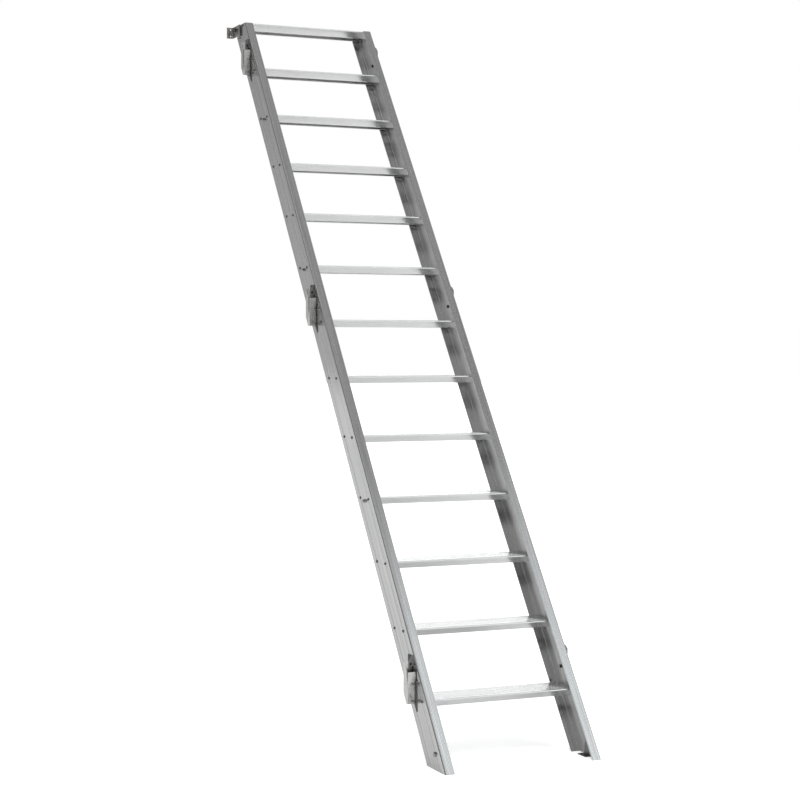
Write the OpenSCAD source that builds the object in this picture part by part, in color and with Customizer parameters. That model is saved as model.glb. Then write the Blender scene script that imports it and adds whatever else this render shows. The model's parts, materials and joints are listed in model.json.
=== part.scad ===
// Fixed attic ladder: two aluminium channel stringers, level treads between them,
// bases for handrail posts on both sides with sockets on the left ones,
// and pivoting brackets for wall and floor.
// X runs across the ladder, +Y is the way it leans, +Z is up.
// The origin is on the floor, below the middle of the whole ladder.

/* [Ladder] */
// Width over the outer faces of the two stringers
ladder_w = 540; // [420:1:700]
// Height from one tread to the next, and from the floor to the first tread
rise = 200; // [190:1:230]
// Distance each tread sits behind the one below it
going = 150; // [140:1:165]

/* [Stringers] */
// Depth of the channel, square to its front face
channel_d = 115; // [110:1:125]
// Width of the channel's flanges
flange_w = 32.5; // [28:0.5:45]
// Thickness of the channel's walls
channel_t = 3; // [2.5:0.1:4]
// Width of the two marking grooves along the outer face of the web
groove_w = 2; // [1:0.1:3]
// Depth of the marking grooves
groove_depth = 0.6; // [0.3:0.1:1]
// Spacing of the fine grooves along the front and back flanges
reed_pitch = 4.5; // [3:0.1:6]
// Depth of the fine grooves
reed_depth = 0.5; // [0.2:0.05:0.6]
// Radius of the channel's outer corners
corner_r = 4.5; // [3:0.5:6]

/* [Treads] */
// Depth of a tread from its nose to its back edge
tread_d = 124; // [118:0.5:124]
// Height of a tread
tread_h = 25; // [22:0.5:27]
// Gap from the stringer's front face to the nose, measured level
nose_gap = 12; // [8:0.5:12]
// Thickness of the sloping front and back walls
tread_wall = 2.5; // [2:0.1:3]
// Thickness of the walking surface
top_t = 3.5; // [3:0.1:4]
// How far the front wall slopes back under the nose
front_run = 22; // [16:0.5:24]
// Spacing of the anti-slip grooves on top
tread_reed_pitch = 6; // [5:0.5:10]
// Depth of the anti-slip grooves
tread_reed_depth = 1; // [0.5:0.1:1.5]

/* [Tread fixings] */
// Depth of the screws below the tread's top
screw_drop = 7.5; // [7:0.1:9]
// Diameter of the screws' shanks
screw_d = 4.8; // [4:0.1:5]
// Length of the screws in the treads
screw_len = 32; // [20:1:40]
// Depth of the tie rods below the tread's top
rod_drop = 15.5; // [14:0.1:17]
// Diameter of the tie rods
rod_d = 6; // [5:0.5:7]

/* [Handrail brackets] */
// Thickness of the base that lies on the stringer
base_t = 2.5; // [2:0.1:3]
// Depth of the base's lower tip below the tread's top
base_below = 46; // [40:1:50]
// Height of the base above the tread's top
base_above = 127; // [120:1:128]
// How far the base shows in front of the socket
base_margin = 8; // [6:0.5:10]
// Width of the base's flange, out from the stringer
base_flange_w = 13; // [11:0.5:14]
// Thickness of the socket's sheet
socket_t = 2; // [1.5:0.1:2.5]
// Clear width of the socket, out from the stringer
socket_w = 27; // [25.5:0.5:32]
// Clear depth of the socket, front to back
socket_clear_d = 25.5; // [25.5:0.5:28]
// Height of the socket's front above the tread's top
socket_above = 79; // [70:1:85]
// Height of the socket's back above the tread's top
socket_back_above = 112; // [100:1:116]
// Depth of the socket's bottom below the tread's top
socket_below = 21; // [18:1:22]

/* [Wall brackets] */
// Thickness of the wall bracket's steel
wall_t = 4; // [3:0.5:5]
// Height of the wall bracket
wall_h = 44; // [40:1:50]
// Length of the leg along the stringer
wall_leg = 92; // [85:1:100]
// Width of the leg against the wall, out from the stringer
wall_flange = 28; // [26:1:35]
// Thickness of the spacer that holds the bracket clear of the tread screws
wall_spacer_t = 3; // [2.8:0.1:4]
// Diameter of the two screw holes in the wall leg
wall_hole_d = 5.5; // [4.5:0.1:6]
// Distance between the two screw holes
wall_hole_gap = 26; // [20:1:28]

/* [Floor brackets] */
// Thickness of the floor bracket's steel
floor_t = 3; // [2.5:0.1:4]
// Length of the floor leg, along the stringer's foot
floor_len = 50; // [44:1:56]
// Reach of the floor leg inwards from the stringer's outer face
floor_reach = 31; // [30:0.5:34]
// Height of the floor bracket's pivot
floor_pivot_h = 48; // [46:1:55]
// Diameter of the two screw holes in the floor leg
floor_hole_d = 6.5; // [5:0.1:7]
// Distance between the two screw holes
floor_hole_gap = 28; // [24:1:30]

/* [Hidden] */
$fn = 48;

tread_count = 13;
rod_treads = [4, 8, 11];
post_treads = [1, 7, 12];
slop = 0.1;
eps = 0.01;
cut = 1;

pitch = atan2(rise, going);
ladder_h = tread_count * rise;
run = ladder_h / tan(pitch) + channel_d / sin(pitch);
foot_y = -run / 2;
web_x = ladder_w / 2;
front_row = channel_d / 4;
back_row = channel_d * 3 / 4;
mid_row = channel_d / 2;

arc_steps = 8;
reed_w = reed_pitch / 3;
lip_r = 1;
corner_fillet = 1.5;
nose_r = 3;
nose_under = 25;
back_slope = 0.72;
back_run = tread_h * back_slope;
return_w = 7;
port_d = 9.6;
tread_clear = 0.1;
tread_len = ladder_w - 2 * channel_t - 2 * tread_clear;

screw_head_d = 9.5;
screw_crown_d = 5.7;
screw_head_h = 2.6;
screw_recess = 4;

m6_d = 6;
m6_af = 10;
m6_head_h = 4;
m6_nut_h = 5;
m8_d = 8;
m8_af = 13;
m8_head_h = 5.3;
m8_nut_h = 6.5;
washer_t = 1.6;
washer_d = 16;
thread_end = 2;

rod_af = rod_d * 5 / 3;
rod_nut_h = rod_d * 5 / 6;
rod_washer_d = 2 * rod_d;

post_y = 75;
base_step_h = 52;
base_shoulder_h = 93;
base_tail = 34;
base_heel_y = 12;
base_heel_h = 16;
base_toe_y = 18;
base_toe_h = 23;
flange_taper = 14;
flange_tip_w = 5;
clamp_bolt_out = 12;
clamp_bolt_heights = [-14, 40];
base_bolt_h = 54;
base_bolt_row = 62;
rivet_heights = [28, 100];
rivet_out = 7.75;
rivet_d = 4.8;
rivet_head_d = 8;
rivet_sink = 1.6;
rivet_tail_h = 2;
socket_d = 2 * socket_t + base_t + socket_clear_d;
socket_back_h = 16;
socket_toe = 4;
socket_bend_r = 1.5;

wall_y = run / 2;
wall_pivot_back = 54;
wall_pivot_drop = 19;
wall_pivot_y = wall_y - wall_pivot_back;
wall_pivot_z = ladder_h - wall_pivot_drop;
wall_gap = wall_spacer_t + slop;
wall_bend_r = 4;
wall_hole_out = wall_bend_r + wall_t + 5;
wall_head_x = web_x + wall_gap + wall_t + slop + washer_t;

floor_row = 33;
floor_pivot_y = slope_y(floor_pivot_h, floor_row);
floor_spacer_t = 1;
floor_leg_x = web_x - channel_t - floor_spacer_t - slop - floor_t;
floor_nut_x = floor_leg_x - slop - washer_t - m8_nut_h;
floor_bend_r = 2;
floor_ear_r = 18;
floor_heel_h = 12;

rod_len = ladder_w + 2 * (washer_t + rod_nut_h + thread_end);

// Y of a point at height z, at distance v behind the stringer's front face
function slope_y(z, v) = foot_y + z / tan(pitch) + v / sin(pitch);
function tread_z(i) = i * rise;
function tread_y(i) = slope_y(tread_z(i), 0) + nose_gap;
function has_post(i) = len(search(i, post_treads)) > 0;

// Points along an arc about [x, y], from angle a0 to angle a1
function arc(x, y, r, a0, a1) = [
    for (k = [0 : arc_steps])
        let (a = a0 + (a1 - a0) * k / arc_steps)
            [x + r * cos(a), y + r * sin(a)]
];

module left() {
    mirror([1, 0, 0])
        children();
}

module both_sides() {
    children();
    left() children();
}

// Draws a 2D outline, given as [y, z], as a plate from x to x + t
module plate(x, t) {
    translate([x, 0, 0])
        rotate([90, 0, 90])
            linear_extrude(t)
                children();
}

// A cylinder along X from x to x + h
module x_rod(x, y, z, d, h) {
    translate([x, y, z])
        rotate([0, 90, 0])
            cylinder(d = d, h = h);
}

module x_hex(x, y, z, af, h) {
    translate([x, y, z])
        rotate([0, 90, 0])
            cylinder(d = af / cos(30), h = h, $fn = 6);
}

// A quarter of a bend about the Z axis, between X and Y, for sheet of thickness t
module fold(r, t, h) {
    intersection() {
        difference() {
            cylinder(r = r + t, h = h);
            translate([0, 0, -cut])
                cylinder(r = r, h = h + 2 * cut);
        }
        cube([r + t, r + t, h]);
    }
}

module x_washer(x, y, z, d, bore, h) {
    difference() {
        x_rod(x, y, z, d, h);
        x_rod(x - cut, y, z, bore, h + 2 * cut);
    }
}

module x_nut(x, y, z, af, bore, h) {
    difference() {
        x_hex(x, y, z, af, h);
        x_rod(x - cut, y, z, bore, h + 2 * cut);
    }
}

// Hex bolt with its head outwards: the head sits at x, the shank runs inwards
module x_bolt(x, y, z, d, len, af, head_h) {
    x_rod(x - len, y, z, d, len + eps);
    x_hex(x, y, z, af, head_h);
}

// Pan-head screw with its head outwards
module x_screw(x, y, z, len) {
    difference() {
        union() {
            x_rod(x - len, y, z, screw_d - 2 * tread_clear, len + eps);
            translate([x, y, z])
                rotate([0, 90, 0])
                    cylinder(d1 = screw_head_d, d2 = screw_crown_d, h = screw_head_h);
        }
        x_hex(x + screw_head_h / 2, y, z, screw_recess, screw_head_h);
    }
}

// ---------- stringers ----------

// U section with round outer corners, fillets inside and round lips
module channel_outline() {
    lip_x = web_x - flange_w;
    back = channel_d - channel_t;
    fillet_x = web_x - channel_t - corner_fillet;
    polygon(concat(
        arc(lip_x + lip_r, lip_r, lip_r, 180, 270),
        arc(web_x - corner_r, corner_r, corner_r, -90, 0),
        arc(web_x - corner_r, channel_d - corner_r, corner_r, 0, 90),
        arc(lip_x + lip_r, channel_d - lip_r, lip_r, 90, 180),
        arc(lip_x + lip_r, back + lip_r, lip_r, 180, 270),
        arc(fillet_x, back - corner_fillet, corner_fillet, 90, 0),
        arc(fillet_x, channel_t + corner_fillet, corner_fillet, 0, -90),
        arc(lip_x + lip_r, channel_t - lip_r, lip_r, 90, 180)
    ));
}

module channel_section() {
    difference() {
        channel_outline();
        for (row = [front_row, back_row])
            translate([web_x - groove_depth, row - groove_w / 2])
                square([groove_depth + cut, groove_w]);
        for (x = [corner_r + reed_pitch / 2 : reed_pitch : flange_w - reed_pitch / 2])
            for (y = [-cut, channel_d - reed_depth])
                translate([web_x - x - reed_w / 2, y])
                    square([reed_w, cut + reed_depth]);
    }
}

module channel() {
    intersection() {
        translate([0, foot_y, 0])
            rotate([pitch - 90, 0, 0])
                translate([0, 0, -channel_d])
                    linear_extrude(ladder_h / sin(pitch) + 2 * channel_d)
                        channel_section();
        translate([0, -run, 0])
            cube([ladder_w, 2 * run, ladder_h]);
    }
}

module web_hole(z, row, d) {
    x_rod(web_x - channel_t - cut, slope_y(z, row), z, d, channel_t + 2 * cut);
}

module stringer() {
    color([0.72, 0.73, 0.74])
        difference() {
            channel();
            for (i = [1 : tread_count])
                for (row = [front_row, back_row])
                    web_hole(tread_z(i) - screw_drop, row, screw_d + 2 * slop);
            for (i = rod_treads)
                web_hole(tread_z(i) - rod_drop, mid_row, rod_d + 2 * slop);
            for (i = post_treads)
                web_hole(tread_z(i) + base_bolt_h, base_bolt_row, m6_d + 2 * slop);
            web_hole(floor_pivot_h, floor_row, m8_d + 2 * slop);
            x_rod(web_x - channel_t - cut, wall_pivot_y, wall_pivot_z, m8_d + 2 * slop, channel_t + 2 * cut);
        }
}

module left_stringer() {
    left() stringer();
}

module right_stringer() {
    stringer();
}

// ---------- treads ----------

// Centre of the screw port or rod in tread coordinates, for a row on the stringer
function port_at(drop, row) = row / sin(pitch) - drop / tan(pitch) - nose_gap;

module tread_outline() {
    polygon(concat(
        arc(nose_r, -nose_r, nose_r, 180 + nose_under, 90),
        arc(tread_d - nose_r, -nose_r, nose_r, 90, -nose_under),
        [
            [tread_d - back_run, -tread_h],
            [front_run, -tread_h]
        ]
    ));
}

module tread_hollow() {
    wall = tread_wall / cos(atan2(front_run, tread_h));
    lip_h = tread_h - tread_wall;
    front_in = front_run / tread_h;
    back_in = back_run / tread_h;
    polygon([
        [front_in * top_t + wall, -top_t],
        [tread_d - back_in * top_t - wall, -top_t],
        [tread_d - back_in * lip_h - wall, -lip_h],
        [tread_d - back_run - wall - return_w, -lip_h],
        [tread_d - back_run - wall - return_w, -tread_h - cut],
        [front_run + wall + return_w / 2, -tread_h - cut],
        [front_run + wall + return_w / 2, -lip_h],
        [front_in * lip_h + wall, -lip_h]
    ]);
}

module tread_section() {
    difference() {
        tread_outline();
        tread_hollow();
        for (y = [2 * nose_r + tread_reed_pitch / 2 : tread_reed_pitch : tread_d - 2 * nose_r])
            translate([y, -tread_reed_depth])
                square([tread_reed_pitch / 2, tread_reed_depth + cut]);
    }
}

module tread_ports(d, extra) {
    for (row = [front_row, back_row])
        translate([port_at(screw_drop, row), -screw_drop, -extra])
            cylinder(d = d, h = tread_len + 2 * extra);
}

module tread(i) {
    color([0.86, 0.87, 0.88])
        translate([-tread_len / 2, tread_y(i), tread_z(i)])
            rotate([90, 0, 90])
                difference() {
                    union() {
                        linear_extrude(tread_len)
                            tread_section();
                        tread_ports(port_d, 0);
                    }
                    tread_ports(screw_d, cut);
                }
}

module tread_01() { tread(1); }
module tread_02() { tread(2); }
module tread_03() { tread(3); }
module tread_04() { tread(4); }
module tread_05() { tread(5); }
module tread_06() { tread(6); }
module tread_07() { tread(7); }
module tread_08() { tread(8); }
module tread_09() { tread(9); }
module tread_10() { tread(10); }
module tread_11() { tread(11); }
module tread_12() { tread(12); }
module tread_13() { tread(13); }

// The back screw also clamps the post base where there is one
module tread_screws() {
    color([0.45, 0.45, 0.44])
        for (i = [1 : tread_count]) {
            z = tread_z(i) - screw_drop;
            pack = has_post(i) ? base_t : 0;
            x_screw(web_x, slope_y(z, front_row), z, screw_len);
            x_screw(web_x + pack, slope_y(z, back_row), z, screw_len + pack);
        }
}

module tread_screws_left() {
    left() tread_screws();
}

module tread_screws_right() {
    tread_screws();
}

// ---------- tie rods ----------

module tie_rod(i) {
    z = tread_z(i) - rod_drop;
    color([0.7, 0.7, 0.68])
        x_rod(-rod_len / 2, slope_y(z, mid_row), z, rod_d, rod_len);
}

module lower_tie_rod() { tie_rod(rod_treads[0]); }
module middle_tie_rod() { tie_rod(rod_treads[1]); }
module upper_tie_rod() { tie_rod(rod_treads[2]); }

module tie_rod_washers() {
    color([0.7, 0.7, 0.68])
        both_sides()
            for (i = rod_treads) {
                z = tread_z(i) - rod_drop;
                x_washer(web_x, slope_y(z, mid_row), z, rod_washer_d, rod_d + 2 * slop, washer_t);
            }
}

module tie_rod_nuts() {
    color([0.6, 0.6, 0.58])
        both_sides()
            for (i = rod_treads) {
                z = tread_z(i) - rod_drop;
                x_nut(web_x + washer_t, slope_y(z, mid_row), z, rod_af, rod_d + 2 * slop, rod_nut_h);
            }
}

// ---------- handrail post brackets ----------

function post_front(i) = slope_y(tread_z(i), 0) + post_y;
// Front of the base's flange, which stands inside the socket's back
function flange_front(i) = post_front(i) + socket_t + socket_clear_d;

// Plate against the stringer: pointed below, stepped back above along the stringer's slope
module base_outline(i) {
    front = post_front(i) - base_margin;
    rear = flange_front(i);
    z = tread_z(i);
    polygon([
        [front, z - base_below],
        [front + base_toe_y, z - base_toe_h],
        [rear + base_heel_y, z - base_heel_h],
        [rear + base_tail, z + base_tail],
        [rear + base_tail, z + base_above],
        [rear, z + base_above],
        [rear, z + base_shoulder_h],
        [front, z + base_step_h]
    ]);
}

// Flange square to the stringer, narrowed at its top
module base_flange(i) {
    low = tread_z(i) + socket_back_h;
    high = tread_z(i) + base_above;
    translate([web_x, flange_front(i) + base_t, 0])
        rotate([90, 0, 0])
            linear_extrude(base_t)
                polygon([
                    [0, low],
                    [base_flange_w, low],
                    [base_flange_w, high - flange_taper],
                    [flange_tip_w, high],
                    [0, high]
                ]);
}

// Places a child at each rivet, with Z pointing back through flange and socket
module at_rivets(i) {
    for (h = rivet_heights)
        translate([web_x + rivet_out, flange_front(i), tread_z(i) + h])
            rotate([-90, 0, 0])
                children();
}

module rivet_hole() {
    translate([0, 0, -cut])
        cylinder(d = rivet_d + 2 * slop, h = base_t + socket_t + 2 * cut);
    translate([0, 0, -eps])
        cylinder(d1 = rivet_head_d + 2 * slop, d2 = rivet_d + 2 * slop, h = rivet_sink + slop);
}

module rivet() {
    cylinder(d1 = rivet_head_d, d2 = rivet_d, h = rivet_sink);
    cylinder(d = rivet_d, h = base_t + socket_t + slop + eps);
    translate([0, 0, base_t + socket_t + slop])
        cylinder(d1 = rivet_head_d, d2 = rivet_d, h = rivet_tail_h);
}

module post_base(i) {
    z = tread_z(i);
    screw_z = z - screw_drop;
    bolt_z = z + base_bolt_h;
    color([0.3, 0.3, 0.29])
        difference() {
            union() {
                plate(web_x, base_t)
                    base_outline(i);
                base_flange(i);
            }
            x_rod(web_x - cut, slope_y(screw_z, back_row), screw_z, screw_d + 2 * slop, base_t + 2 * cut);
            x_rod(web_x - cut, slope_y(bolt_z, base_bolt_row), bolt_z, m6_d + 2 * slop, base_t + 2 * cut);
            at_rivets(i)
                rivet_hole();
        }
}

// Side view of the socket: cut off along the stringer below, higher at the back than in front
module socket_outline(i) {
    front = post_front(i);
    corner = socket_t + socket_bend_r;
    z = tread_z(i);
    polygon([
        [front, z - socket_below],
        [front + socket_t + socket_toe, z - socket_below],
        [front + socket_d, z + socket_back_h],
        [front + socket_d, z + socket_back_above],
        [front + socket_d - corner, z + socket_back_above],
        [front + corner, z + socket_above],
        [front, z + socket_above]
    ]);
}

// Sheet folded to a U, open towards the stringer
module socket_sheet(h) {
    bend = socket_bend_r + socket_t;
    flat_w = socket_w + socket_t - bend;
    for (y = [0, socket_d - socket_t])
        translate([0, y, 0])
            cube([flat_w, socket_t, h]);
    translate([socket_w, bend, 0])
        cube([socket_t, socket_d - 2 * bend, h]);
    translate([flat_w, bend, 0])
        rotate([0, 0, -90])
            fold(socket_bend_r, socket_t, h);
    translate([flat_w, socket_d - bend, 0])
        fold(socket_bend_r, socket_t, h);
}

module post_socket(i) {
    inner_x = web_x + base_t;
    color([0.75, 0.75, 0.73])
        difference() {
            intersection() {
                plate(inner_x, socket_w + socket_t)
                    socket_outline(i);
                translate([inner_x, post_front(i), tread_z(i) - socket_below])
                    socket_sheet(socket_below + socket_back_above);
            }
            at_rivets(i)
                rivet_hole();
            for (h = clamp_bolt_heights)
                translate([web_x + clamp_bolt_out, post_front(i) - cut, tread_z(i) + h])
                    rotate([-90, 0, 0])
                        cylinder(d = m6_d + 2 * slop, h = socket_t + 2 * cut);
        }
}

module lower_right_post_base() { post_base(post_treads[0]); }
module middle_right_post_base() { post_base(post_treads[1]); }
module upper_right_post_base() { post_base(post_treads[2]); }
module lower_left_post_base() { left() post_base(post_treads[0]); }
module middle_left_post_base() { left() post_base(post_treads[1]); }
module upper_left_post_base() { left() post_base(post_treads[2]); }
module lower_left_post_socket() { left() post_socket(post_treads[0]); }
module middle_left_post_socket() { left() post_socket(post_treads[1]); }
module upper_left_post_socket() { left() post_socket(post_treads[2]); }

module post_base_bolts() {
    grip = base_t + channel_t + m6_nut_h + thread_end;
    color([0.35, 0.35, 0.34])
        both_sides()
            for (i = post_treads) {
                z = tread_z(i) + base_bolt_h;
                x_bolt(web_x + base_t, slope_y(z, base_bolt_row), z, m6_d, grip, m6_af, m6_head_h);
            }
}

module post_base_nuts() {
    color([0.35, 0.35, 0.34])
        both_sides()
            for (i = post_treads) {
                z = tread_z(i) + base_bolt_h;
                x_nut(web_x - channel_t - m6_nut_h, slope_y(z, base_bolt_row), z,
                    m6_af, m6_d + slop, m6_nut_h);
            }
}

module post_rivets() {
    color([0.3, 0.3, 0.29])
        left()
            for (i = post_treads)
                at_rivets(i)
                    rivet();
}

// Bolts that clamp the post, drawn backed off to the inside of the socket's front
module post_clamp_bolts() {
    color([0.5, 0.5, 0.48])
        left()
            for (i = post_treads)
                for (h = clamp_bolt_heights)
                    translate([web_x + clamp_bolt_out, post_front(i), tread_z(i) + h])
                        rotate([90, 0, 0]) {
                            cylinder(d = m6_af / cos(30), h = m6_head_h, $fn = 6);
                            translate([0, 0, -socket_t])
                                cylinder(d = m6_d, h = socket_t + eps);
                        }
}

// ---------- wall brackets ----------

// Turns about a bolt through the stringer, so that it lies flat on the wall at any lean
module wall_bracket() {
    low = ladder_h - wall_h;
    leg_x = web_x + wall_gap;
    bend = wall_bend_r + wall_t;
    color([0.33, 0.33, 0.29])
        difference() {
            translate([leg_x + bend, wall_y - bend, low]) {
                translate([-bend, bend - wall_leg, 0])
                    cube([wall_t, wall_leg - bend, wall_h]);
                translate([0, wall_bend_r, 0])
                    cube([wall_flange - bend, wall_t, wall_h]);
                rotate([0, 0, 90])
                    fold(wall_bend_r, wall_t, wall_h);
            }
            x_rod(web_x, wall_pivot_y, wall_pivot_z, m8_d + 2 * slop, wall_gap + wall_t + cut);
            for (side = [-1, 1])
                translate([
                    leg_x + wall_hole_out,
                    wall_y - wall_t - cut,
                    low + wall_h / 2 + side * wall_hole_gap / 2
                ])
                    rotate([-90, 0, 0])
                        cylinder(d = wall_hole_d, h = wall_t + 2 * cut);
        }
}

module right_wall_bracket() { wall_bracket(); }
module left_wall_bracket() { left() wall_bracket(); }

module wall_pivot_bolts() {
    grip = wall_head_x - web_x + channel_t + washer_t + m8_nut_h + thread_end;
    color([0.2, 0.2, 0.19])
        both_sides()
            x_bolt(wall_head_x, wall_pivot_y, wall_pivot_z, m8_d, grip, m8_af, m8_head_h);
}

module wall_pivot_spacers() {
    color([0.4, 0.4, 0.38])
        both_sides()
            x_washer(web_x, wall_pivot_y, wall_pivot_z, washer_d, m8_d + 2 * slop, wall_spacer_t);
}

module wall_pivot_washers() {
    color([0.4, 0.4, 0.38])
        both_sides() {
            for (x = [wall_head_x, web_x - channel_t])
                x_washer(x - washer_t, wall_pivot_y, wall_pivot_z, washer_d, m8_d + 2 * slop, washer_t);
        }
}

module wall_pivot_nuts() {
    color([0.4, 0.4, 0.38])
        both_sides()
            x_nut(web_x - channel_t - washer_t - m8_nut_h, wall_pivot_y, wall_pivot_z,
                m8_af, m8_d + 2 * slop, m8_nut_h);
}

// ---------- floor brackets ----------

module floor_ear_outline() {
    half = floor_len / 2;
    polygon([
        [floor_pivot_y - half, -cut],
        [floor_pivot_y + half, -cut],
        [floor_pivot_y + half, floor_heel_h],
        [floor_pivot_y + floor_ear_r, floor_pivot_h],
        [floor_pivot_y - floor_ear_r, floor_pivot_h],
        [floor_pivot_y - half, floor_heel_h]
    ]);
}

// Side view of the bracket: a flared foot and a round ear about the pivot
module floor_ear(x, t) {
    plate(x, t)
        floor_ear_outline();
    x_rod(x, floor_pivot_y, floor_pivot_h, 2 * floor_ear_r, t);
}

// Turns about a bolt through the stringer, so that it lies flat on the floor at any lean
module floor_bracket() {
    inner_x = web_x - floor_reach;
    bend_x = floor_leg_x - floor_bend_r;
    bend_z = floor_t + floor_bend_r;
    back_y = floor_pivot_y + floor_len / 2;
    color([0.33, 0.34, 0.34])
        difference() {
            intersection() {
                floor_ear(inner_x, floor_reach);
                union() {
                    translate([floor_leg_x, floor_pivot_y - floor_len / 2, bend_z])
                        cube([floor_t, floor_len, floor_pivot_h + floor_ear_r]);
                    translate([inner_x, floor_pivot_y - floor_len / 2, 0])
                        cube([bend_x - inner_x, floor_len, floor_t]);
                    translate([bend_x, back_y, bend_z])
                        rotate([90, 90, 0])
                            fold(floor_bend_r, floor_t, floor_len);
                }
            }
            x_rod(floor_leg_x - cut, floor_pivot_y, floor_pivot_h, m8_d + 2 * slop, floor_t + 2 * cut);
            for (side = [-1, 1])
                translate([
                    (inner_x + floor_leg_x) / 2,
                    floor_pivot_y + side * floor_hole_gap / 2,
                    -cut
                ])
                    cylinder(d = floor_hole_d, h = floor_t + 2 * cut);
        }
}

module right_floor_bracket() { floor_bracket(); }
module left_floor_bracket() { left() floor_bracket(); }

module floor_pivot_bolts() {
    grip = web_x - floor_nut_x + thread_end;
    color([0.35, 0.35, 0.34])
        both_sides()
            x_bolt(web_x, floor_pivot_y, floor_pivot_h, m8_d, grip, m8_af, m8_head_h);
}

module floor_pivot_spacers() {
    color([0.4, 0.4, 0.38])
        both_sides()
            x_washer(web_x - channel_t - floor_spacer_t, floor_pivot_y, floor_pivot_h,
                washer_d, m8_d + 2 * slop, floor_spacer_t);
}

module floor_pivot_washers() {
    color([0.4, 0.4, 0.38])
        both_sides()
            x_washer(floor_nut_x + m8_nut_h, floor_pivot_y, floor_pivot_h,
                washer_d, m8_d + 2 * slop, washer_t);
}

module floor_pivot_nuts() {
    color([0.4, 0.4, 0.38])
        both_sides()
            x_nut(floor_nut_x, floor_pivot_y, floor_pivot_h, m8_af, m8_d + 2 * slop, m8_nut_h);
}

left_stringer();
right_stringer();
tread_01();
tread_02();
tread_03();
tread_04();
tread_05();
tread_06();
tread_07();
tread_08();
tread_09();
tread_10();
tread_11();
tread_12();
tread_13();
tread_screws_left();
tread_screws_right();
lower_tie_rod();
middle_tie_rod();
upper_tie_rod();
tie_rod_washers();
tie_rod_nuts();
lower_left_post_base();
middle_left_post_base();
upper_left_post_base();
lower_right_post_base();
middle_right_post_base();
upper_right_post_base();
lower_left_post_socket();
middle_left_post_socket();
upper_left_post_socket();
post_base_bolts();
post_base_nuts();
post_rivets();
post_clamp_bolts();
left_wall_bracket();
right_wall_bracket();
wall_pivot_bolts();
wall_pivot_spacers();
wall_pivot_washers();
wall_pivot_nuts();
left_floor_bracket();
right_floor_bracket();
floor_pivot_bolts();
floor_pivot_spacers();
floor_pivot_washers();
floor_pivot_nuts();
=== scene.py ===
"""Attic ladder: finishes, detailed hardware, floor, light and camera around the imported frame."""
import json
import math

import bmesh
import bpy
from mathutils import Matrix, Vector

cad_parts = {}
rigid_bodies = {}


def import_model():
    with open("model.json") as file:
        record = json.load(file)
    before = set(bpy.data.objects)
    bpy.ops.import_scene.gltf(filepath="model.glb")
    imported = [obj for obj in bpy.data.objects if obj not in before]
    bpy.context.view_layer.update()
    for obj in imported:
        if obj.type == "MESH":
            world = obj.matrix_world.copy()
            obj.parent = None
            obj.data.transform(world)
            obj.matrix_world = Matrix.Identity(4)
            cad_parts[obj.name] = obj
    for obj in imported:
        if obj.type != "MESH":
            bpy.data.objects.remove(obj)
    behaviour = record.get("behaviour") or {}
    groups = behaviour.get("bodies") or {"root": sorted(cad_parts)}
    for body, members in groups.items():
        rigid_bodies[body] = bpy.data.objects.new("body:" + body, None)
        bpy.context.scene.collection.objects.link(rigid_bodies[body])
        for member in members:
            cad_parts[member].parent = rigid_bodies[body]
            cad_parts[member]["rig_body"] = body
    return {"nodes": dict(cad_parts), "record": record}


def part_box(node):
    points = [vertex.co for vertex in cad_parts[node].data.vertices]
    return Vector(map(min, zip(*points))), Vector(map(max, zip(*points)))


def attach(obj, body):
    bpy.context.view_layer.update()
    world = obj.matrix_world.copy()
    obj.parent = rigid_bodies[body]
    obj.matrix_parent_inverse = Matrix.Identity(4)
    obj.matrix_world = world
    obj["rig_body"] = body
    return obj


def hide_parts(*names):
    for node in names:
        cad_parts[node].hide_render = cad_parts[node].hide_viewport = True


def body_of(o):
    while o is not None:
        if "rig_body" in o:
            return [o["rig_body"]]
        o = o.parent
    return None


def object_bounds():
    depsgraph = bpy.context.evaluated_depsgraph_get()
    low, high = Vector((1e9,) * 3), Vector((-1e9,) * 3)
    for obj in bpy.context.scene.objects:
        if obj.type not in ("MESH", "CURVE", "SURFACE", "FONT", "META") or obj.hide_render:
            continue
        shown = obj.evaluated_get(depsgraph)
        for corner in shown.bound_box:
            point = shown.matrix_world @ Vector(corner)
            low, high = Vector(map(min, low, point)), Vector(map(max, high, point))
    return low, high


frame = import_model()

cad_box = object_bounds()
NODES = frame["nodes"]
MM = 0.001

TREADS = sorted(name for name in NODES if name.startswith("tread_") and name[-2:].isdigit())
LOWEST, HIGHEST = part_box(TREADS[0]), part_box(TREADS[-1])
RISE = (HIGHEST[1].z - LOWEST[1].z) / (len(TREADS) - 1)
GOING = (HIGHEST[0].y - LOWEST[0].y) / (len(TREADS) - 1)
PITCH = math.atan2(RISE, GOING)
CORNER_RADIUS = 4.5 * MM
REED_START = -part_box("left_stringer")[0].x - CORNER_RADIUS
REED_PITCH = 4.5 * MM


# ---------- shader building ----------

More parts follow.
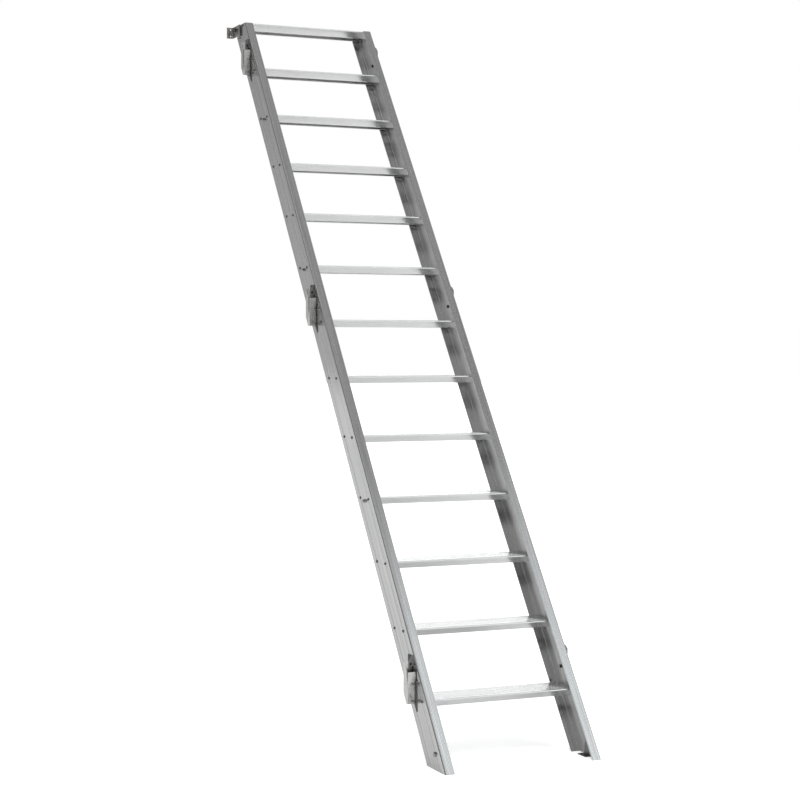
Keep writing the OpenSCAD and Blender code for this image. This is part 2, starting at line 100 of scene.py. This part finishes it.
class Finish:
    """A principled material with short calls for the nodes that the finishes below share."""

    def __init__(self, name, tilt=0.0):
        self.material = bpy.data.materials.new(name)
        self.material.use_nodes = True
        self.tree = self.material.node_tree
        self.tree.nodes.clear()
        out = self.node("ShaderNodeOutputMaterial")
        self.surface = self.node("ShaderNodeBsdfPrincipled")
        self.join(self.surface.outputs["BSDF"], out.inputs["Surface"])
        self.place = self.node("ShaderNodeTexCoord").outputs["Object"]
        self.tilt = tilt
        self.height = None

    def node(self, kind, **settings):
        made = self.tree.nodes.new(kind)
        for key, value in settings.items():
            setattr(made, key, value)
        return made

    def join(self, source, target):
        """Links an output, or writes a plain value, to an input."""
        if isinstance(source, bpy.types.NodeSocket):
            self.tree.links.new(source, target)
        else:
            target.default_value = source

    def spots(self, size, detail=3.0, roughness=0.5, shift=0.0):
        """Noise whose features measure size (x, along, across), in metres, on the tilted axes."""
        mapping = self.node("ShaderNodeMapping", vector_type="TEXTURE")
        self.join(self.place, mapping.inputs["Vector"])
        mapping.inputs["Location"].default_value = (shift, shift, shift)
        mapping.inputs["Rotation"].default_value = (self.tilt, 0, 0)
        mapping.inputs["Scale"].default_value = size
        noise = self.node("ShaderNodeTexNoise")
        self.join(mapping.outputs["Vector"], noise.inputs["Vector"])
        noise.inputs["Scale"].default_value = 1.0
        noise.inputs["Detail"].default_value = detail
        noise.inputs["Roughness"].default_value = roughness
        return noise.outputs["Fac"]

    def remap(self, value, low, high, to_low=0.0, to_high=1.0, smooth=False):
        made = self.node("ShaderNodeMapRange", interpolation_type="SMOOTHSTEP" if smooth else "LINEAR")
        self.join(value, made.inputs["Value"])
        for key, number in zip(("From Min", "From Max", "To Min", "To Max"), (low, high, to_low, to_high)):
            self.join(number, made.inputs[key])
        return made.outputs["Result"]

    def maths(self, operation, a, b=0.0):
        made = self.node("ShaderNodeMath", operation=operation)
        self.join(a, made.inputs[0])
        self.join(b, made.inputs[1])
        return made.outputs["Value"]

    def mix(self, factor, a, b):
        made = self.node("ShaderNodeMix", data_type="RGBA")
        self.join(factor, made.inputs[0])
        self.join(a, made.inputs[6])
        self.join(b, made.inputs[7])
        return made.outputs[2]

    def axes(self, vector):
        made = self.node("ShaderNodeSeparateXYZ")
        self.join(vector, made.inputs[0])
        return made.outputs

    def normal(self):
        return self.axes(self.node("ShaderNodeNewGeometry").outputs["Normal"])

    def edge_highlight(self, radius):
        """1 on edges sharper than radius, 0 on flats: the mask for the painted edge highlights."""
        rounded = self.node("ShaderNodeBevel", samples=4)
        rounded.inputs["Radius"].default_value = radius
        product = self.node("ShaderNodeVectorMath", operation="DOT_PRODUCT")
        self.join(rounded.outputs["Normal"], product.inputs[0])
        self.join(self.node("ShaderNodeNewGeometry").outputs["Normal"], product.inputs[1])
        return self.remap(product.outputs["Value"], 0.99, 0.8)

    def bump(self, height, distance, strength=1.0):
        made = self.node("ShaderNodeBump")
        self.join(height, made.inputs["Height"])
        made.inputs["Strength"].default_value = strength
        made.inputs["Distance"].default_value = distance
        if self.height is not None:
            self.join(self.height, made.inputs["Normal"])
        self.height = made.outputs["Normal"]
        self.join(self.height, self.surface.inputs["Normal"])

    def set(self, **values):
        for key, value in values.items():
            self.join(value, self.surface.inputs[key.replace("_", " ")])


def shade(value, warm=0.0):
    """A grey, a little warmer where warm is above 0 and cooler below."""
    return (value * (1 + warm), value, value * (1 - warm), 1.0)


# ---------- finishes ----------

def mill_aluminium():
    """Extruded stringers: drawn lines along the slope, oxide clouds, painted shade in the flange grooves,
    painted highlights on edges, duller inside.
    """
    f = Finish("mill_aluminium", tilt=PITCH)
    grain = f.spots((0.9 * MM, 160 * MM, 0.9 * MM), detail=2)
    streaks = f.spots((7 * MM, 900 * MM, 7 * MM), detail=3, shift=0.3)
    clouds = f.spots((90 * MM, 150 * MM, 60 * MM), detail=5, roughness=0.6, shift=1.7)
    scuffs = f.remap(f.spots((14 * MM, 30 * MM, 3 * MM), detail=6, roughness=0.7, shift=4.1), 0.62, 0.72)
    lines = f.maths("ADD", f.maths("MULTIPLY", grain, 0.35), f.maths("MULTIPLY", streaks, 0.65))
    sideways, facing = f.axes(f.place)[0], f.normal()[0]
    from_corner = f.maths("SUBTRACT", REED_START, f.maths("ABSOLUTE", sideways))
    across = f.maths("FRACT", f.maths("DIVIDE", from_corner, REED_PITCH))
    off_middle = f.maths("ABSOLUTE", f.maths("SUBTRACT", across, 0.5))
    on_flange = f.remap(f.maths("ABSOLUTE", facing), 0.8, 0.3)
    reed = f.maths("MULTIPLY", f.remap(off_middle, 0.22, 0.14), on_flange)
    base = f.mix(f.remap(lines, 0.36, 0.64), shade(0.46), shade(0.66))
    base = f.mix(f.remap(clouds, 0.35, 0.75, 0.0, 0.2), base, shade(0.5, 0.01))
    base = f.mix(f.maths("MULTIPLY", scuffs, 0.15), base, shade(0.8))
    # painted highlight: rounded edges made lighter
    base = f.mix(f.maths("MULTIPLY", f.edge_highlight(0.7 * MM), 0.5), base, shade(0.8))
    # painted shade: the flange grooves made darker
    base = f.mix(f.maths("MULTIPLY", reed, 0.4), base, shade(0.2))
    inward = f.maths("MULTIPLY", facing, f.maths("SIGN", sideways))
    rough = f.remap(lines, 0.3, 0.7, 0.09, 0.14)
    rough = f.maths("ADD", rough, f.remap(clouds, 0.3, 0.75, -0.02, 0.05))
    rough = f.maths("ADD", rough, f.remap(inward, -0.5, -0.9, 0.0, 0.18))
    f.set(Base_Color=base, Metallic=0.85, Roughness=rough)
    f.bump(grain, 0.03 * MM, 0.25)
    f.bump(clouds, 0.4 * MM, 0.04)
    return f.material


def bright_aluminium():
    """Extruded treads: grain across the ladder, painted highlights on the top faces and edges, and painted
    shade in the grooves.
    """
    f = Finish("bright_aluminium")
    grain = f.spots((220 * MM, 0.8 * MM, 0.8 * MM), detail=2)
    streaks = f.spots((500 * MM, 5 * MM, 5 * MM), detail=3, shift=0.7)
    clouds = f.spots((110 * MM, 50 * MM, 50 * MM), detail=4, roughness=0.6, shift=2.3)
    lines = f.maths("ADD", f.maths("MULTIPLY", grain, 0.4), f.maths("MULTIPLY", streaks, 0.6))
    climbed = f.maths("DIVIDE", f.axes(f.place)[2], RISE)
    below = f.maths("SUBTRACT", 0.5, f.maths("FRACT", f.maths("ADD", climbed, 0.5)))
    facing_up = f.normal()[2]
    groove = f.maths("MULTIPLY", f.remap(below, 0.002, 0.004), f.remap(below, 0.008, 0.006))
    groove = f.maths("MULTIPLY", groove, f.remap(facing_up, 0.5, 0.9))
    base = f.mix(f.remap(lines, 0.3, 0.7), shade(0.8), shade(0.92))
    base = f.mix(f.remap(clouds, 0.4, 0.75, 0.0, 0.2), base, shade(0.76, 0.01))
    # painted highlight: faces that look up made lighter
    base = f.mix(f.remap(facing_up, 0.9, 0.98, 0.0, 0.5), base, shade(0.95))
    # painted shade: the groove floors just below each tread top made darker
    base = f.mix(f.maths("MULTIPLY", groove, 0.65), base, shade(0.4))
    # painted highlight: rounded edges made lighter
    base = f.mix(f.maths("MULTIPLY", f.edge_highlight(0.8 * MM), 0.4), base, shade(0.95))
    rough = f.remap(lines, 0.3, 0.7, 0.16, 0.21)
    rough = f.maths("ADD", rough, f.remap(clouds, 0.3, 0.75, -0.03, 0.04))
    f.set(Base_Color=base, Metallic=0.85, Roughness=rough)
    f.set(Anisotropic=0.4, Anisotropic_Rotation=0.25, Tangent=(1, 0, 0))
    f.bump(grain, 0.02 * MM, 0.15)
    return f.material


def zinc_sheet():
    """Rolled and zinc-plated sheet: fine upright rolling lines, soft clouds and a painted highlight on the
    cut edges.
    """
    f = Finish("zinc_sheet")
    lines = f.spots((1.4 * MM, 1.4 * MM, 60 * MM), detail=3)
    clouds = f.spots((18 * MM, 18 * MM, 26 * MM), detail=5, roughness=0.65, shift=0.9)
    flecks = f.remap(f.spots((2.5 * MM, 2.5 * MM, 2.5 * MM), detail=2, shift=3.3), 0.6, 0.75)
    base = f.mix(f.remap(lines, 0.3, 0.7), shade(0.58, 0.01), shade(0.68, 0.01))
    base = f.mix(f.remap(clouds, 0.4, 0.75, 0.0, 0.25), base, shade(0.5, 0.02))
    base = f.mix(f.maths("MULTIPLY", flecks, 0.12), base, shade(0.7))
    # painted highlight: cut edges made lighter
    base = f.mix(f.maths("MULTIPLY", f.edge_highlight(0.6 * MM), 0.5), base, shade(0.75))
    rough = f.maths("ADD", f.remap(lines, 0.3, 0.7, 0.2, 0.25), f.remap(clouds, 0.3, 0.75, -0.02, 0.06))
    f.set(Base_Color=base, Metallic=0.9, Roughness=rough)
    f.bump(lines, 0.03 * MM, 0.25)
    f.bump(clouds, 0.2 * MM, 0.04)
    return f.material


def dark_steel(name, dark, light, warm, front_highlight=0.0):
    """Passivated steel strip: mottled dark film, with painted highlights along its edges and on faces to the
    front.
    """
    f = Finish(name)
    mottle = f.spots((9 * MM, 9 * MM, 9 * MM), detail=6, roughness=0.65)
    lines = f.spots((30 * MM, 30 * MM, 0.8 * MM), detail=3, shift=1.1)
    base = f.mix(f.remap(mottle, 0.35, 0.7), shade(dark, warm), shade(light, warm * 0.6))
    base = f.mix(f.remap(lines, 0.4, 0.8, 0.0, 0.3), base, shade(light * 1.3, warm))
    # painted highlight: faces that point to the front made lighter
    base = f.mix(f.remap(f.normal()[1], -0.9, -1.0, 0.0, front_highlight), base, shade(0.5, warm * 0.5))
    # painted highlight: rounded edges made lighter
    base = f.mix(f.maths("MULTIPLY", f.edge_highlight(0.8 * MM), 0.7), base, shade(0.5, warm * 0.5))
    f.set(Base_Color=base, Metallic=1.0, Roughness=f.remap(mottle, 0.3, 0.75, 0.28, 0.5))
    f.bump(mottle, 0.3 * MM, 0.15)
    f.bump(lines, 0.05 * MM, 0.4)
    return f.material


def plated(name, dark, light, warm=0.01):
    """Plated hardware: a satin film with a painted highlight on its corners, and slight tarnish."""
    f = Finish(name)
    tarnish = f.spots((3 * MM, 3 * MM, 3 * MM), detail=5, roughness=0.6)
    turned = f.spots((0.3 * MM, 0.3 * MM, 0.3 * MM), detail=2, shift=2.0)
    base = f.mix(f.remap(tarnish, 0.3, 0.7), shade(dark, warm), shade(light, warm))
    # painted highlight: corners made lighter
    base = f.mix(f.maths("MULTIPLY", f.edge_highlight(0.4 * MM), 0.6), base, shade(min(light * 1.7, 0.9)))
    f.set(Base_Color=base, Metallic=1.0, Roughness=f.remap(tarnish, 0.3, 0.7, 0.22, 0.42))
    f.bump(turned, 0.02 * MM, 0.5)
    return f.material


FINISHES = {
    "stringer": mill_aluminium(),
    "tread": bright_aluminium(),
    "socket": zinc_sheet(),
    # post base: painted near black to stand in for the shade and reflections beside the sockets, with a
    # painted highlight on its front faces
    "post_base": dark_steel("dark_steel_painted_shade", 0.03, 0.06, 0.02, front_highlight=0.5),
    "wall_bracket": dark_steel("olive_passivated_steel", 0.36, 0.5, 0.04),
    # floor bracket: its steel grey darkened, painted shade for the shadow inside the channel foot
    "floor_bracket": dark_steel("grey_steel_painted_shade", 0.2, 0.32, 0.01),
    "fastener": plated("zinc_plated_hardware", 0.34, 0.5),
    "screw": plated("dull_screw_steel", 0.13, 0.22),
    "dark_fastener": plated("black_oxide_hardware", 0.03, 0.06),
}
SLOT_OF = {part["node"]: part["material_slot"] for part in frame["record"]["subparts"]}


def paint(obj, finish):
    obj.data.materials.clear()
    obj.data.materials.append(FINISHES[finish])


# ---------- carried-over CAD nodes ----------

EDGE_BEVEL_MM = {
    "stringer": 0.25,
    "tread": 0.4,
    "socket": 0.35,
    "post_base": 0.35,
    "wall_bracket": 0.6,
    "floor_bracket": 0.5,
}
SMALL_BEVEL_MM = 0.2
SHARP_ANGLE = math.radians(38)
SAME_CORNER = 0.005 * MM


def soften(obj, width):
    """Joins a CAD mesh's split corners and flat triangles, and rounds its edges by width."""
    weld = obj.modifiers.new("join_corners", "WELD")
    weld.merge_threshold = SAME_CORNER
    flat = obj.modifiers.new("join_flats", "DECIMATE")
    flat.decimate_type = "DISSOLVE"
    flat.angle_limit = math.radians(0.5)
    bevel = obj.modifiers.new("round_edges", "BEVEL")
    bevel.width = width
    bevel.segments = 2
    bevel.limit_method = "ANGLE"
    bevel.angle_limit = math.radians(35)
    bevel.use_clamp_overlap = True
    bevel.harden_normals = False


for name, obj in NODES.items():
    paint(obj, SLOT_OF[name])
    soften(obj, EDGE_BEVEL_MM.get(SLOT_OF[name], SMALL_BEVEL_MM) * MM)


# ---------- hardware ----------

TURN = 2 * math.pi
HEX_COS = math.cos(TURN / 12)
UP = Vector((0, 0, 1))
# Width over the flats in mm: thread diameter, thread pitch and head height of an M6 and an M8
HEX_SIZES = {10: (6 * MM, 1.0 * MM, 4 * MM), 13: (8 * MM, 1.25 * MM, 5.3 * MM)}


def solids(name):
    """(lowest, highest) corners of each separate solid in a CAD node."""
    bm = bmesh.new()
    bm.from_mesh(NODES[name].data)
    bmesh.ops.remove_doubles(bm, verts=bm.verts, dist=SAME_CORNER)
    left = set(bm.verts)
    found = []
    while left:
        front = [left.pop()]
        reached = []
        while front:
            vert = front.pop()
            reached.append(vert.co.copy())
            for edge in vert.link_edges:
                other = edge.other_vert(vert)
                if other in left:
                    left.remove(other)
                    front.append(other)
        low = Vector(min(p[k] for p in reached) for k in range(3))
        high = Vector(max(p[k] for p in reached) for k in range(3))
        found.append((low, high))
    bm.free()
    return sorted(found, key=lambda box: tuple(round(c, 5) for c in box[0]))


def circle(radius):
    return lambda angle: radius


def hexagon(flats, limit):
    """A hexagon cut back by a circle, as a chamfered head is."""
    return lambda angle: min(flats / 2 / math.cos(angle % (TURN / 6) - TURN / 12), limit)


def thread(radius, pitch, z):
    depth = 0.3 * pitch
    return lambda angle: radius - depth * (0.5 + 0.5 * math.cos(TURN * z / pitch - angle))


def hex_rings(z0, z1, flats, chamfered=(True, True)):
    """Rings of a hexagonal head or nut from z0 up to z1, with 30 degree chamfers."""
    corner, face = flats / 2 / HEX_COS, flats / 2 * 0.96
    drop = (corner - face) * math.tan(math.radians(30))
    low, high = [], []
    for k in range(5):
        limit = face + (corner - face) * k / 4
        low.append((z0 + drop * k / 4, hexagon(flats, limit if chamfered[0] else corner)))
        high.append((z1 - drop * k / 4, hexagon(flats, limit if chamfered[1] else corner)))
    return low + high[::-1]


def threaded_rings(z0, z1, radius, pitch, steps=8):
    """Rings of a thread that starts at a pointed end at z0."""
    count = max(2, round((z1 - z0) / pitch * steps))
    rings = []
    for k in range(count + 1):
        z = z0 + (z1 - z0) * k / count
        rings.append((z, thread(radius - max(0, 0.5 * pitch - (z - z0)), pitch, z)))
    return rings


def lathe(bm, matrix, rings, loop=False, count=24):
    """Skins rings [(z, radius by angle)] about local Z; a loop joins last to first, otherwise ends close."""
    rows = []
    for z, radius in rings:
        row = []
        for k in range(count):
            angle = TURN * k / count
            r = radius(angle)
            row.append(bm.verts.new(matrix @ Vector((r * math.cos(angle), r * math.sin(angle), z))))
        rows.append(row)
    pairs = list(zip(rows, rows[1:]))
    if loop:
        pairs.append((rows[-1], rows[0]))
    else:
        bm.faces.new(rows[0][::-1])
        bm.faces.new(rows[-1])
    for below, above in pairs:
        for k in range(count):
            n = (k + 1) % count
            bm.faces.new((below[k], below[n], above[n], above[k]))


def seat(at, out, corner):
    """Matrix that puts local Z along out and local X along corner, with its origin at a point."""
    side = out.cross(corner)
    return Matrix.Translation(at) @ Matrix((corner, side, out)).transposed().to_4x4()


def centre(box):
    return (box[0] + box[1]) / 2


def outward(box):
    """Unit X away from the ladder's middle."""
    return Vector((math.copysign(1, centre(box).x), 0, 0))


def x_frame(box):
    """A seat at the outer end of a fastener that lies along X, and its length."""
    out = outward(box)
    length = box[1].x - box[0].x
    return seat(centre(box) + out * length / 2, out, UP), length


def over_flats(box):
    """Width over the flats of a hexagon about X that stands on a corner."""
    return (box[1].z - box[0].z) * HEX_COS


def add_pan_screw(bm, box):
    """Domed head with a hexagonal recess, on a plain shank with a tapered end."""
    matrix, length = x_frame(box)
    wide = (box[1].z - box[0].z) / 2
    head, shank, taper = 2.6 * MM, 2.3 * MM, 1.5 * MM
    dome, dome_steps, dome_sweep = 0.75 * head, 6, math.radians(72)
    recess, deep = 4 * MM, 1.4 * MM
    rings = [(-length, circle(0.5 * shank)), (-length + taper, circle(shank)), (-head, circle(shank))]
    rings += [(-head, circle(wide * 0.97)), (-0.9 * head, circle(wide))]
    for k in range(1, dome_steps + 1):
        angle = dome_sweep * k / dome_steps
        risen = math.sin(angle) / math.sin(dome_sweep)
        rings.append((dome * (risen - 1), circle(wide * (0.45 + 0.55 * math.cos(angle) ** 0.8))))
    rings.append((0, hexagon(recess, recess)))
    rings.append((-deep, hexagon(recess * 0.96, recess)))
    rings.append((-1.2 * deep, circle(0.3 * recess)))
    lathe(bm, matrix, rings)


def add_bolt(bm, matrix, length, flats):
    """Hex bolt: chamfered head, washer face and a thread on the last stretch of its shank."""
    size, pitch, head = HEX_SIZES[round(flats / MM)]
    bare = min(length - head - 1.5 * size, size)
    face, face_top = flats * 0.47, -head + 0.3 * MM
    rings = threaded_rings(-length, -head - max(bare, 0), size / 2, pitch)
    rings += [(-head, circle(size / 2)), (-head, circle(face)), (face_top, circle(face))]
    rings += hex_rings(face_top, 0, flats, (False, True))
    lathe(bm, matrix, rings)


def add_x_bolt(bm, box):
    matrix, length = x_frame(box)
    add_bolt(bm, matrix, length, over_flats(box))


def add_y_bolt(bm, box):
    """Bolt with its head to the front, as on the post sockets."""
    middle = centre(box)
    matrix = seat(Vector((middle.x, box[0].y, middle.z)), Vector((0, -1, 0)), Vector((1, 0, 0)))
    add_bolt(bm, matrix, box[1].y - box[0].y, (box[1].x - box[0].x) * HEX_COS)


def add_nut(bm, box):
    """Nut with chamfered corners and a countersunk bore."""
    matrix, length = x_frame(box)
    flats = over_flats(box)
    play, sink = 0.05 * MM, 0.6 * MM
    bore = HEX_SIZES[round(flats / MM)][0] / 2 + play
    rings = [(-length, circle(bore + sink))] + hex_rings(-length, 0, flats)
    rings += [(0, circle(bore + sink)), (-sink, circle(bore)), (sink - length, circle(bore))]
    lathe(bm, matrix, rings, loop=True)


def add_tie_rod(bm, box):
    """Rod with rolled threads at both ends."""
    matrix = seat(centre(box), Vector((1, 0, 0)), UP)
    half = (box[1].x - box[0].x) / 2
    radius, pitch, run, runout = (box[1].z - box[0].z) / 2, 1 * MM, 25 * MM, 1 * MM
    left = threaded_rings(-half, run - half, radius, pitch)
    right = [(-z, r) for z, r in left]
    bare = half - run - runout
    lathe(bm, matrix, left + [(-bare, circle(radius * 0.96)), (bare, circle(radius * 0.96))] + right[::-1])


def stand_in(name, builder, finish):
    """Replaces a CAD node of hardware by one detailed piece, solid by solid."""
    bm = bmesh.new()
    for box in solids(name):
        builder(bm, box)
    bmesh.ops.recalc_face_normals(bm, faces=bm.faces)
    mesh = bpy.data.meshes.new(name + "_detail")
    bm.to_mesh(mesh)
    bm.free()
    mesh.shade_smooth()
    mesh.set_sharp_from_angle(angle=SHARP_ANGLE)
    piece = bpy.data.objects.new(name + "_detail", mesh)
    bpy.context.scene.collection.objects.link(piece)
    paint(piece, finish)
    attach(piece, body_of(NODES[name])[0])
    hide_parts(name)


for name in NODES:
    if name.endswith("tie_rod"):
        stand_in(name, add_tie_rod, "fastener")
    elif name.endswith("_nuts"):
        stand_in(name, add_nut, "dark_fastener" if name == "post_base_nuts" else "fastener")
    elif name.startswith("tread_screws"):
        stand_in(name, add_pan_screw, "screw")
for name in ("post_base_bolts", "floor_pivot_bolts"):
    stand_in(name, add_x_bolt, "fastener")
stand_in("wall_pivot_bolts", add_x_bolt, "dark_fastener")
stand_in("post_clamp_bolts", add_y_bolt, "fastener")


# ---------- stage, light and camera ----------

FLOOR_HALF = 60


def studio_world():
    """A bright room seen in the metal: pale to the right, greyer to the left and overhead, with a softbox."""
    world = bpy.data.worlds.new("studio")
    world.use_nodes = True
    bpy.context.scene.world = world
    f = Finish.__new__(Finish)
    f.tree = world.node_tree
    f.tree.nodes.clear()
    out = f.node("ShaderNodeOutputWorld")
    room = f.node("ShaderNodeBackground")
    seen = f.node("ShaderNodeBackground")
    seen.inputs["Color"].default_value = (1, 1, 1, 1)
    direction = f.node("ShaderNodeTexCoord").outputs["Generated"]
    x, y, z = f.axes(direction)[0:3]

    def patch(aim, start, full, amount):
        """A soft round area about a direction, that adds amount at its middle."""
        dot = f.node("ShaderNodeVectorMath", operation="DOT_PRODUCT")
        f.join(direction, dot.inputs[0])
        dot.inputs[1].default_value = Vector(aim).normalized()
        return f.remap(dot.outputs["Value"], start, full, 0.0, amount, smooth=True)

    def dim(level, first, second, to):
        """Scales the level to a share of itself where both masks are 1."""
        return f.maths("MULTIPLY", level, f.remap(f.maths("MULTIPLY", first, second), 0.0, 1.0, 1.0, to))

    side = f.remap(x, -0.25, 0.35, 0.62, 1.1, smooth=True)
    high = f.remap(z, 0.05, 0.25, 1.0, 0.6, smooth=True)
    overhead = f.remap(z, 0.55, 0.9, smooth=True)
    walls = f.maths("MULTIPLY", f.maths("MULTIPLY", side, high), f.maths("SUBTRACT", 1.0, overhead))
    level = f.maths("ADD", walls, f.maths("MULTIPLY", overhead, 0.42))
    ahead = f.remap(y, -0.3, -0.7, smooth=True)
    eye_height = f.remap(f.maths("ABSOLUTE", z), 0.08, 0.13, 1.0, 0.0)
    level = dim(level, ahead, eye_height, 0.05)
    left = f.remap(x, -0.3, -0.5, smooth=True)
    not_behind = f.remap(y, 0.6, 0.35, smooth=True)
    level = dim(level, left, not_behind, 0.25)
    behind = f.remap(y, 0.05, 0.2, smooth=True)
    raised = f.remap(z, 0.4, 0.5, smooth=True)
    level = dim(level, behind, raised, 0.15)
    ceiling_glow = patch((-0.4, -0.3, 0.85), 0.93, 0.98, 0.9)
    left_glow = patch((-0.5, 0.86, 0.0), 0.985, 0.995, 0.3)
    right_glow = patch((0.45, 0.87, 0.2), 0.9, 0.96, 1.0)
    for glow in (ceiling_glow, left_glow, right_glow):
        level = f.maths("ADD", level, glow)
    level = f.maths("MULTIPLY", level, 0.78)
    softbox = patch((0.5, -0.62, 0.6), 0.91, 0.965, 1.0)
    tone = f.node("ShaderNodeCombineColor")
    f.join(f.maths("ADD", level, f.maths("MULTIPLY", softbox, 0.93)), tone.inputs[0])
    f.join(f.maths("ADD", level, softbox), tone.inputs[1])
    f.join(f.maths("ADD", level, f.maths("MULTIPLY", softbox, 1.02)), tone.inputs[2])
    f.join(tone.outputs[0], room.inputs["Color"])
    pick = f.node("ShaderNodeMixShader")
    f.join(f.node("ShaderNodeLightPath").outputs["Is Camera Ray"], pick.inputs[0])
    f.join(room.outputs[0], pick.inputs[1])
    f.join(seen.outputs[0], pick.inputs[2])
    f.join(pick.outputs[0], out.inputs["Surface"])


def pale_floor():
    """A plain floor that shows nearly white, with the faintest of shadows."""
    floor = bpy.data.objects.new("floor", bpy.data.meshes.new("floor"))
    bm = bmesh.new()
    bmesh.ops.create_grid(bm, x_segments=1, y_segments=1, size=FLOOR_HALF)
    bm.to_mesh(floor.data)
    bm.free()
    bpy.context.scene.collection.objects.link(floor)
    f = Finish("pale_floor")
    haze = f.spots((1.5, 1.5, 1.5), detail=2)
    lift = f.maths("MULTIPLY", f.node("ShaderNodeLightPath").outputs["Is Camera Ray"], 0.5)
    f.set(Base_Color=f.mix(haze, shade(0.88), shade(0.91)), Roughness=0.8, Specular_IOR_Level=0.1)
    f.set(Emission_Color=shade(1.0), Emission_Strength=lift)
    floor.data.materials.append(f.material)


def overhead_light():
    """A very broad soft light above, which the metal doesn't mirror."""
    light = bpy.data.lights.new("overhead", "SUN")
    light.energy = 2.2
    light.angle = math.radians(70)
    lamp = bpy.data.objects.new("overhead", light)
    lamp.rotation_euler = (math.radians(18), math.radians(-8), 0)
    lamp.visible_glossy = False
    bpy.context.scene.collection.objects.link(lamp)


def camera():
    """A long lens to the front left, at about the middle's height, dipped a little."""
    data = bpy.data.cameras.new("camera")
    data.lens = 81.15
    data.sensor_width = 36
    data.clip_end = 200
    cam = bpy.data.objects.new("camera", data)
    bearing, distance, lowered = math.radians(22.68), 6.513, 0.008
    dip, turn = math.radians(1.588), math.radians(22.851)
    away = Vector((-math.sin(bearing), -math.cos(bearing), 0))
    cam.location = centre(cad_box) + away * distance - UP * lowered
    cam.rotation_euler = (math.pi / 2 - dip, 0, -turn)
    bpy.context.scene.collection.objects.link(cam)
    bpy.context.scene.camera = cam


studio_world()
pale_floor()
overhead_light()
camera()
bpy.context.scene.view_settings.view_transform = "Standard"
